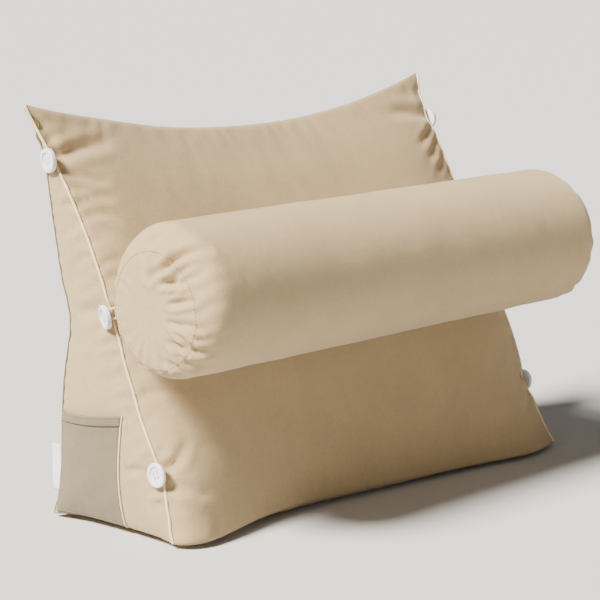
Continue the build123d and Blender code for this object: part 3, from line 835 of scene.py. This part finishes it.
# Folds thrown by the seams and the buttons, kept off the straight zip
co, outs = coords(wedge_cover), normals(wedge_cover)
raw_lines = {name: edge_line(wedge_cover, *pair)[0] for name, pair in SEAM_PANELS.items()}
fold = np.zeros(len(co))
for name, (amount, pitch, reach) in SEAM_FOLDS.items():
    fold += gathers(co, raw_lines[name], amount, pitch, reach, seed=len(name) * 1.37 + amount)
fold += creases_on_both_sides(co, CREASES, right_share=0.7, ridge=0.45)
for button in BUTTONS.values():
    for side in (-1, 1):
        away = np.linalg.norm(co - button * [-side, 1, 1], axis=1)
        fold -= BUTTON_DIMPLE * np.exp(-(away / BUTTON_DIMPLE_REACH) ** 2)
behind, from_zip = co[:, 1] > 80, np.abs(co[:, 2] - WEDGE_ZIP_Z)
fold *= 1 - np.exp(-(from_zip / 13) ** 4) * behind
inland = np.clip(distance_to(co, np.concatenate(list(raw_lines.values()))[::3]) / 30, 0, 1)
waves = 1.3 * fuzz(co, 62, 11.0) * inland
fold += waves * (1 - np.exp(-(from_zip / 16) ** 4) * behind) * (co[:, 2] > 2)
co = co + fold[:, None] * outs
co[:, 2] = np.maximum(co[:, 2], FLOOR_GAP)
set_coords(wedge_cover, co)
settle_inside(wedge_liner, wedge_cover, 2.5)
settle_inside(wedge_filling, wedge_cover, 4.5)
sink_slot(wedge_cover, ZIP_SLOT, -SLOT_DEPTH * BACK_OUT)

SEAM_LINES = {name: edge_line(wedge_cover, *pair) for name, pair in SEAM_PANELS.items()}


def finish_bags(body, cover, liner, filling, panels):
    """Finishes a cover, its liner bag and its filling."""
    for obj, mat, slot, stands_for in ((cover, SUEDE, "cover_cloth", panels),
                                       (liner, LINER_CLOTH, "liner_cloth", (f"{body}_liner",)),
                                       (filling, FIBRE, "fibre_fill", (f"{body}_fill",))):
        finish_piece(obj, mat, body, stands_for)


finish_bags("wedge", wedge_cover, wedge_liner, wedge_filling,
            ("front_panel", "back_panel_upper", "back_panel_lower", "base_panel", "left_side_panel",
             "right_side_panel"))

cover_tree = tree_for(wedge_cover)


def on_cover(point, direction):
    """Where a ray meets the wedge cover, and the cover's normal there."""
    hit = cover_tree.ray_cast(Vector(point), Vector(direction))
    return np.array(hit[0]), np.array(hit[1])


# ---- Piping and stitching along the wedge's seams ----


def piping(name, line, outs, radius, lift, node, mat):
    """A folded strip of cloth sewn into a seam."""
    path = resampled(line + outs * lift, np.linspace(0, 1, 160))
    for _ in range(3):
        path[1:-1] = (path[:-2] + 2 * path[1:-1] + path[2:]) / 4
    points, faces = tube(resampled(path, np.linspace(0, 1, 320)), radius, around=12)
    return finish_piece(new_piece(name, points, faces), mat, "wedge", (node,))


BACK_SEAM_INSET = 3.4
for side, sign in (("left", -1), ("right", 1)):
    piping(f"{side}_front_seam_piping", *SEAM_LINES[f"{side}_front"], 1.4, 0.6, f"{side}_front_piping",
           PIPING_CLOTH)
    # Each back seam's cord is thin and dark brown: a painted shadow along the seam's gap, standing in for
    # its piping.
    line, outs = SEAM_LINES[f"{side}_back"]
    line, outs = line.copy(), outs.copy()
    for i, (x, y, z) in enumerate(line[4:-4], 4):
        line[i], outs[i] = on_cover((sign * 400, y - BACK_SEAM_INSET, z), (-sign, 0, 0))
    piping(f"{side}_back_seam_piping_painted_shadow", line, outs, 1.15, 0.2, f"{side}_back_piping", SEAM_SHADOW_CLOTH)

seam_stitches = Heap()
for name in ("top", "base_front", "base_back", "base_left", "base_right"):
    line, outs = SEAM_LINES[name]
    stitches(seam_stitches, line, outs, pitch=3.6, thick=0.3)
finish_piece(seam_stitches.piece("seam_stitches"), THREAD)

# ---- Bolster ----

TUBE_ALONG, AROUND, CAP_RINGS = 84, 72, 9
TUBE, LEFT_CAP, RIGHT_CAP, BOLSTER_SLOT = range(4)
turn = np.radians(np.arange(AROUND) * 360 / AROUND)
zip_turn = int(round(math.degrees(BOLSTER_ZIP_ANGLE) * AROUND / 360))
slot_turn = SLOT / BOLSTER_RADIUS
turn[zip_turn - 1] = BOLSTER_ZIP_ANGLE - slot_turn
turn[zip_turn + 1] = BOLSTER_ZIP_ANGLE + slot_turn


def ring_radius(angle, left):
    """Radius of an end seam, drawn in most away from the loop."""
    return (57.0 if left else 59.0) + 10.0 * np.cos(angle - math.radians(-60))


SHOULDER = 38
END_X = SEAM_X + 9
CAP_DOME = {-1: 4, 1: 15}

along_tube = END_X * np.sin(np.linspace(-1, 1, TUBE_ALONG + 1) * 1.25) / math.sin(1.25)
tube_grid = []
for x in along_tube:
    ends = np.clip((abs(x) - END_X + SHOULDER) / SHOULDER, 0, 1) ** 4.6
    r = BOLSTER_RADIUS * (1 - ends) + ring_radius(turn, x < 0) * ends
    tube_grid.append(np.stack([np.full(AROUND, x), BOLSTER_CENTRE[0] + r * np.cos(turn),
                               BOLSTER_CENTRE[1] + r * np.sin(turn)], 1))
tube_grid = np.array(tube_grid)
bolster_points = list(tube_grid.reshape(-1, 3))
bolster_faces = grid_faces(TUBE_ALONG + 1, AROUND, closed=True)
bolster_panels = []
for i in range(len(bolster_faces)):
    row, column = divmod(i, AROUND)
    furthest = max(abs(along_tube[row]), abs(along_tube[row + 1]))
    in_slot = column in (zip_turn - 1, zip_turn) and furthest < BOLSTER_ZIP_REACH + 2
    bolster_panels.append(BOLSTER_SLOT if in_slot else TUBE)
for sign, panel, rim, previous in ((-1, LEFT_CAP, tube_grid[0], 0),
                                   (1, RIGHT_CAP, tube_grid[-1], TUBE_ALONG * AROUND)):
    middle = rim.mean(0)
    for k in range(1, CAP_RINGS):
        share = 1 - k / CAP_RINGS
        ring = middle + (rim - middle) * share
        ring[:, 0] = rim[:, 0] + sign * CAP_DOME[sign] * (1 - share**2.4)
        start = len(bolster_points)
        bolster_points.extend(ring)
        for c in range(AROUND):
            d = (c + 1) % AROUND
            bolster_faces.append((previous + c, previous + d, start + d, start + c))
        previous = start
    bolster_points.append(middle + [sign * CAP_DOME[sign], 0, 0])
    centre = len(bolster_points) - 1
    bolster_faces += [(previous + c, previous + (c + 1) % AROUND, centre) for c in range(AROUND)]
    bolster_panels += [panel] * (AROUND * CAP_RINGS)

# Creases of the left end: a deep pinch from the middle of the end panel out over its seam, and smaller ones
BOLSTER_CREASES = (
    ([(-319, -62, 274), (-318, -80, 284), (-313, -95, 297), (-302, -108, 302), (-288, -120, 304)], 6.5, 4.6),
    ([(-318, -76, 270), (-315, -96, 272), (-306, -108, 274)], 4.4, 3.6),
    ([(-317, -90, 250), (-312, -110, 254), (-300, -124, 258)], 4.0, 3.4),
    ([(-317, -90, 232), (-311, -112, 232), (-300, -126, 230)], 3.4, 3.4),
    ([(-316, -86, 212), (-311, -106, 210), (-298, -120, 206)], 4.0, 3.6),
    ([(-315, -78, 192), (-309, -96, 188), (-298, -104, 184)], 3.4, 3.6),
    ([(-317, -50, 300), (-308, -62, 314), (-294, -72, 321)], 2.6, 6.0),
)

bolster_cover = welded("bolster_cover", np.array(bolster_points), bolster_faces, bolster_panels)
co = coords(bolster_cover)
ring_points = np.array(sorted({i for e in seam_edges(bolster_cover) for i in e
                               if abs(abs(co[i, 0]) - END_X) < 0.5}))
slot_points = panel_points(bolster_cover, BOLSTER_SLOT)
to_ring = distance_to(co, co[ring_points])
held = np.zeros(len(co))
held[ring_points] = 1
held[slot_points] = 1
gather = np.clip(1 - to_ring / 60, 0, 1) ** 0.7
push = 1.1 * fuzz(co, 12, 7.0) * np.clip(to_ring / 10, 0, 1) * (held < 0.5)
set_coords(bolster_cover, co + push[:, None] * normals(bolster_cover))
inflate(bolster_cover, held, gather, pressure=5.0, cap=9, growth=0.10)
co = coords(bolster_cover)
away = co[:, 1:] - BOLSTER_CENTRE
reach = np.linalg.norm(away, axis=1)
limit = np.where(np.abs(co[:, 0]) < SEAM_X - 12, BOLSTER_RADIUS - 0.1, BOLSTER_RADIUS + 2.0)
over = reach > limit
over[slot_points] = False
co[over, 1:] = BOLSTER_CENTRE + away[over] / reach[over, None] * limit[over, None]
set_coords(bolster_cover, co)
bolster_liner = shrunk_copy(bolster_cover, "bolster_liner_bag", 6)
bolster_filling = shrunk_copy(bolster_cover, "bolster_fibre_filling", 9, 12)
zip_out = np.array([0, math.cos(BOLSTER_ZIP_ANGLE), math.sin(BOLSTER_ZIP_ANGLE)])
for copy in (bolster_liner, bolster_filling):
    p = coords(copy)
    across_zip = (p - [0, *BOLSTER_CENTRE]) @ [0, -zip_out[2], zip_out[1]]
    deep = np.exp(-(across_zip / 14) ** 2) * ((p - [0, *BOLSTER_CENTRE]) @ zip_out > 40)
    set_coords(copy, p - 6 * deep[:, None] * zip_out)
smoothed(bolster_cover)

co, outs = coords(bolster_cover), normals(bolster_cover)
fold = np.zeros(len(co))
for cap, seed in ((LEFT_CAP, 2.3), (RIGHT_CAP, 8.8)):
    ring = edge_line(bolster_cover, TUBE, cap)[0]
    forward = np.clip(0.5 - (co[:, 1] - BOLSTER_CENTRE[0]) / 90, 0, 1)
    fold += gathers(co, ring, 4.6, 15, 19, seed=seed, hold=1.8, closed=True) * (0.3 + 0.7 * forward)
fold += creases_on_both_sides(co, BOLSTER_CREASES, right_share=0.6, ridge=0.7)
from_axis = co - [0, *BOLSTER_CENTRE]
in_slot = np.exp(-((from_axis @ [0, -zip_out[2], zip_out[1]]) / 12) ** 4) * (from_axis @ zip_out > 50)
fold += 0.8 * fuzz(co, 48, 15.0)
set_coords(bolster_cover, co + (fold * (1 - in_slot))[:, None] * outs)
settle_inside(bolster_liner, bolster_cover, 2.5)
settle_inside(bolster_filling, bolster_cover, 4.5)
sink_slot(bolster_cover, BOLSTER_SLOT, -SLOT_DEPTH * zip_out)
end_rings = [edge_line(bolster_cover, TUBE, cap) for cap in (LEFT_CAP, RIGHT_CAP)]
finish_bags("bolster", bolster_cover, bolster_liner, bolster_filling,
            ("bolster_tube_panel", "bolster_left_end_panel", "bolster_right_end_panel"))
ring_stitches = Heap()
for line, outs in end_rings:
    closed = np.concatenate([line, line[:1]])
    stitches(ring_stitches, closed, np.concatenate([outs, outs[:1]]), pitch=3.8, thick=0.28, lift=0.0)
finish_piece(ring_stitches.piece("bolster_end_stitches"), DARK_THREAD, "bolster")

# ---- Pocket, hem and label on the left side ----


def cloth_sheet(name, grid, outward, thick):
    """A sheet of cloth of that thickness from a grid of points on its inner face."""
    rows, columns = grid.shape[:2]
    inner, outer = grid.reshape(-1, 3), (grid + thick * outward).reshape(-1, 3)
    n = rows * columns
    faces = grid_faces(rows, columns)
    rim = ([r * columns for r in range(rows)] + [(rows - 1) * columns + c for c in range(1, columns)]
           + [r * columns + columns - 1 for r in range(rows - 2, -1, -1)] + list(range(columns - 2, 0, -1)))
    walls = [(a, b, b + n, a + n) for a, b in zip(rim, rim[1:] + rim[:1])]
    lid = [tuple(i + n for i in f[::-1]) for f in faces]
    piece = new_piece(name, np.concatenate([inner, outer]), faces + lid + walls)
    with edited(piece) as bm:
        bmesh.ops.recalc_face_normals(bm, faces=bm.faces)
    return piece


pocket_low, pocket_high = node_box("side_pocket")
hem_low = node_box("pocket_hem")[0]
POCKET_ROWS, POCKET_COLUMNS = 44, 38
POCKET_DEPTH = 6.5
POCKET_SET_BACK = 7.0
OUT = np.array([-1.0, 0, 0])
pocket_grid = np.zeros((POCKET_ROWS + 1, POCKET_COLUMNS + 1, 3))
back_line = SEAM_LINES["left_back"][0]
for r in range(POCKET_ROWS + 1):
    for c in range(POCKET_COLUMNS + 1):
        u, v = c / POCKET_COLUMNS, r / POCKET_ROWS
        top = pocket_high[2] + (hem_low[2] + 10 - pocket_high[2]) * u
        z = pocket_low[2] + 3 + v * (top - pocket_low[2] - 3)
        seam_y = np.interp(z, back_line[:, 2], back_line[:, 1]) - 5
        y = pocket_low[1] + POCKET_SET_BACK + u * (seam_y - pocket_low[1] - POCKET_SET_BACK)
        hit, out = on_cover((-400, y, z), (1, 0, 0))
        open_mouth = v**2.2 * (1 - abs(2 * u - 1) ** 3)
        slack = 0.8 * fuzz([np.array([0, y, z])], 26, 5.0)[0] * math.sin(math.pi * u) * (0.3 + v)
        belly = 1.6 * math.sin(math.pi * u) * v ** 0.5
        pocket_grid[r, c] = [hit[0] - 0.5 - POCKET_DEPTH * open_mouth - belly + slack, y, z]
pocket = cloth_sheet("left_side_pocket", pocket_grid, OUT, 1.1)
finish_piece(pocket, POCKET_CLOTH, "wedge", ("side_pocket",))
hem_rows = 5
hem_grid = pocket_grid[-hem_rows:] + 1.15 * OUT
hem_grid[0] += 0.1 * OUT
hem = cloth_sheet("left_pocket_hem", hem_grid, OUT, 0.8)
finish_piece(hem, POCKET_CLOTH, "wedge", ("pocket_hem",))
pocket_stitches = Heap()
lines = [hem_grid[0] + 0.9 * OUT + [0, 0, 1.4], hem_grid[-1] + 0.9 * OUT - [0, 0, 1.6],
         pocket_grid[:, 1] + 1.15 * OUT, pocket_grid[:, -2] + 1.15 * OUT, pocket_grid[1] + 1.15 * OUT]
for line in lines:
    stitches(pocket_stitches, line, np.repeat([OUT], len(line), 0), pitch=3.0, long=2.0, thick=0.26)
pocket_thread = finish_piece(pocket_stitches.piece("pocket_stitches"), THREAD)
# The pocket's folded front edge is a cord in the light piping colour: a painted highlight along the fold.
fold = tube(resampled(pocket_grid[:, 0] + 0.6 * OUT, np.linspace(0, 1, 60)), 0.9, around=10)
pocket_fold = finish_piece(new_piece("pocket_edge_painted_highlight", *fold), PIPING_CLOTH)

label_low, label_high = node_box("care_label")
label_wide, label_tall = label_high[1] - label_low[1] - 3.4, label_high[2] - label_low[2]
label_grid = np.zeros((19, 7, 3))
for r in range(19):
    for c in range(7):
        u, v = c / 6, r / 18
        z = label_low[2] + 0.4 + v * (label_tall - 0.8)
        y = label_low[1] + 0.0704 * (z - label_low[2]) + u * (label_wide + 1.5) - 0.5
        x = label_low[0] - 0.2 - 1.6 * math.sin(1.7 * u) * (0.55 + 0.45 * math.sin(4.2 * v + 0.6))
        label_grid[r, c] = [x, y, z]
label = cloth_sheet("blank_care_label", label_grid, OUT, 0.5)
finish_piece(label, LABEL_CLOTH, "care_label", ("care_label",))

# ---- Buttons, threads, loops and zips: CAD shapes with their own finishes ----


def world_coords(name):
    """Points of a CAD node in the row frame, in millimetres."""
    matrix = np.array(nodes[name].matrix_world)
    return coords(nodes[name]) @ matrix[:3, :3].T + matrix[:3, 3] / MM


def dress(name, mat):
    obj = nodes[name]
    obj.data.materials.clear()
    obj.data.materials.append(mat)
    obj.data.polygons.foreach_set("material_index", [0] * len(obj.data.polygons))


def leaning(points, height, sign):
    """Points of a button turned about the seam as the cloth sags away behind it."""
    pivot = BUTTONS[height] * [-sign, 1, 1] - np.array([sign * 2.5, 0, 0])
    clear = np.clip(np.abs(points[:, :1] - pivot[0]) / 3, 0, 1)
    points = points + clear * [sign * BUTTON_LIFT[height], 0, 0] + [0, BUTTON_SHIFT[height], 0]
    pivot = pivot + [0, BUTTON_SHIFT[height], 0]
    turned = Quaternion((0, *SLOPE), math.radians(BUTTON_LEAN[height]) * sign).to_matrix()
    return (points - pivot) @ np.array(turned).T + pivot


def copied(node, name, mat, points):
    piece = linked(name, nodes[node].data.copy())
    set_coords(piece, points)
    piece.data.polygons.foreach_set("material_index", [0] * len(piece.data.polygons))
    return finish_piece(piece, mat, "wedge", (node,))


BUTTON_LEAN = {"bottom": 0, "middle": 24, "top": 9}
BUTTON_LIFT = {"bottom": 0, "middle": 1.8, "top": 1.8}
BUTTON_SHIFT = {"bottom": 0, "middle": -6.5, "top": 0}
for side, sign in (("left", -1), ("right", 1)):
    for height in BUTTONS:
        if BUTTON_LEAN[height]:
            copied(f"{side}_{height}_button", f"{side}_{height}_leaning_button", PLASTIC,
                   leaning(world_coords(f"{side}_{height}_button"), height, sign))
        else:
            dress(f"{side}_{height}_button", PLASTIC)
    thread = world_coords(f"{side}_button_threads")
    places = np.array([BUTTONS[h] * [-sign, 1, 1] for h in BUTTONS])
    owner = np.linalg.norm(thread[:, None] - places[None], axis=2).argmin(1)
    for k, height in enumerate(BUTTONS):
        thread[owner == k] = leaning(thread[owner == k], height, sign)
    copied(f"{side}_button_threads", f"{side}_leaning_threads", WHITE_THREAD, thread)
    cord = linked(f"{side}_elastic_loop", nodes[f"{side}_loop"].data.copy())
    cord.data.materials.clear()
    cord.data.materials.append(ELASTIC)
    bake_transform(cord)
    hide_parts(f"{side}_loop")

for zip_name in ("wedge_zip", "bolster_zip"):
    for part, mat in (("tapes", TAPE), ("stops", METAL), ("slider", METAL), ("pull", METAL)):
        dress(f"{zip_name}_{part}", mat)

COIL_PITCH, COIL_WIRE = 1.35, 0.42


def coil_teeth(name, low, high, out, reach, body):
    """Two rows of nylon coil turns that mesh along the middle of a zip."""
    heap = Heap()
    side = np.array([0, -out[2], out[1]])
    middle = np.array([0, (low[1] + high[1]) / 2, (low[2] + high[2]) / 2])
    arc = np.linspace(-0.2, math.pi + 0.2, 7)
    for k, x in enumerate(np.arange(-reach, reach, COIL_PITCH)):
        sign = 1 if k % 2 else -1
        path = [middle + np.array([x, 0, 0]) + sign * side * (1.15 - 1.35 * math.cos(a))
                + out * (0.85 * math.sin(a) - 0.15) for a in arc]
        heap.add(*tube(path, COIL_WIRE, around=6))
    finish_piece(heap.piece(name), COIL, body, (f"{name.rsplit('_', 1)[0]}_coils",))


coil_teeth("wedge_zip_teeth", *node_box("wedge_zip_coils"), BACK_OUT, WEDGE_ZIP_REACH - 3.5, "wedge")
coil_teeth("bolster_zip_teeth", *node_box("bolster_zip_coils"), zip_out, BOLSTER_ZIP_REACH - 3.5, "bolster")

ZIP_STITCH_OFFSET = SLOT + 2.2


def zip_stitches(name, cover, start, side, inward, out, reach, body):
    """A row of stitches beside each edge of a zip, where rays from outside meet the cover."""
    heap, tree = Heap(), tree_for(cover)
    for offset in (-ZIP_STITCH_OFFSET, ZIP_STITCH_OFFSET):
        line = []
        for x in np.linspace(-reach, reach, 120):
            origin = start + np.array([x, 0, 0]) + side * offset
            line.append(np.array(tree.ray_cast(Vector(origin), Vector(inward))[0]))
        stitches(heap, np.array(line), np.repeat([out], len(line), 0), pitch=3.4, thick=0.28)
    finish_piece(heap.piece(name), THREAD, body)


zip_side = np.array([0, -zip_out[2], zip_out[1]])
zip_stitches("wedge_zip_stitches", wedge_cover, np.array([0, 300, WEDGE_ZIP_Z]), np.array([0, 0, 1.0]),
             (0, -1, 0), BACK_OUT, WEDGE_ZIP_REACH, "wedge")
zip_stitches("bolster_zip_stitches", bolster_cover, np.array([0, *BOLSTER_CENTRE]) + zip_out * 140, zip_side,
             -zip_out, zip_out, BOLSTER_ZIP_REACH, "bolster")

# ---- Floor, light and camera ----

FLOOR_HALF = 30000
corners = [[FLOOR_HALF * x, FLOOR_HALF * y, -0.2] for x, y in ((-1, -1), (1, -1), (1, 1), (-1, 1))]
floor = new_piece("floor", corners, [(0, 1, 2, 3)], smooth=False)
floor.data.materials.append(material("pale_floor", (0.56, 0.56, 0.555), rough=0.95, spread=0.006, grain=40,
                                     grain_bump=0.0, specular=0.1))

world = bpy.data.worlds.new("studio")
bpy.context.scene.world = world
world.use_nodes = True
world.node_tree.nodes["Background"].inputs[0].default_value = (1.0, 0.99, 0.97, 1)
world.node_tree.nodes["Background"].inputs[1].default_value = 0.18


def aimed(obj, place, direction):
    """Stands a light or camera at a place and turns it along a direction."""
    obj.location = place
    obj.rotation_mode = "QUATERNION"
    obj.rotation_quaternion = Vector(direction).to_track_quat("-Z", "Y")
    return obj


sun = bpy.data.lights.new("key", "SUN")
sun.energy = 14.5
sun.angle = math.radians(16)
sun.color = (1.0, 0.95, 0.87)
aimed(linked("key", sun), (0, 0, 0), (1.62, -0.36, -1.8))

lamp = bpy.data.lights.new("fill", "AREA")
lamp.shape = "RECTANGLE"
lamp.size, lamp.size_y = 1.8, 1.4
lamp.energy = 5
lamp.color = (1.0, 0.95, 0.88)
aimed(linked("fill", lamp), (-0.6, -2.6, 1.1), (0.6, 2.6, -0.9))

camera = linked("camera", bpy.data.cameras.new("camera"))
camera.data.lens = 122.04
camera.data.clip_end = 100
azimuth, elevation, distance = math.radians(-46), math.radians(10.7), 2.18
target = Vector((-0.038, 0, 0.206))
towards = Vector((math.sin(azimuth) * math.cos(elevation), -math.cos(azimuth) * math.cos(elevation),
                  math.sin(elevation)))
aimed(camera, target + towards * distance, -towards)
bpy.context.scene.camera = camera
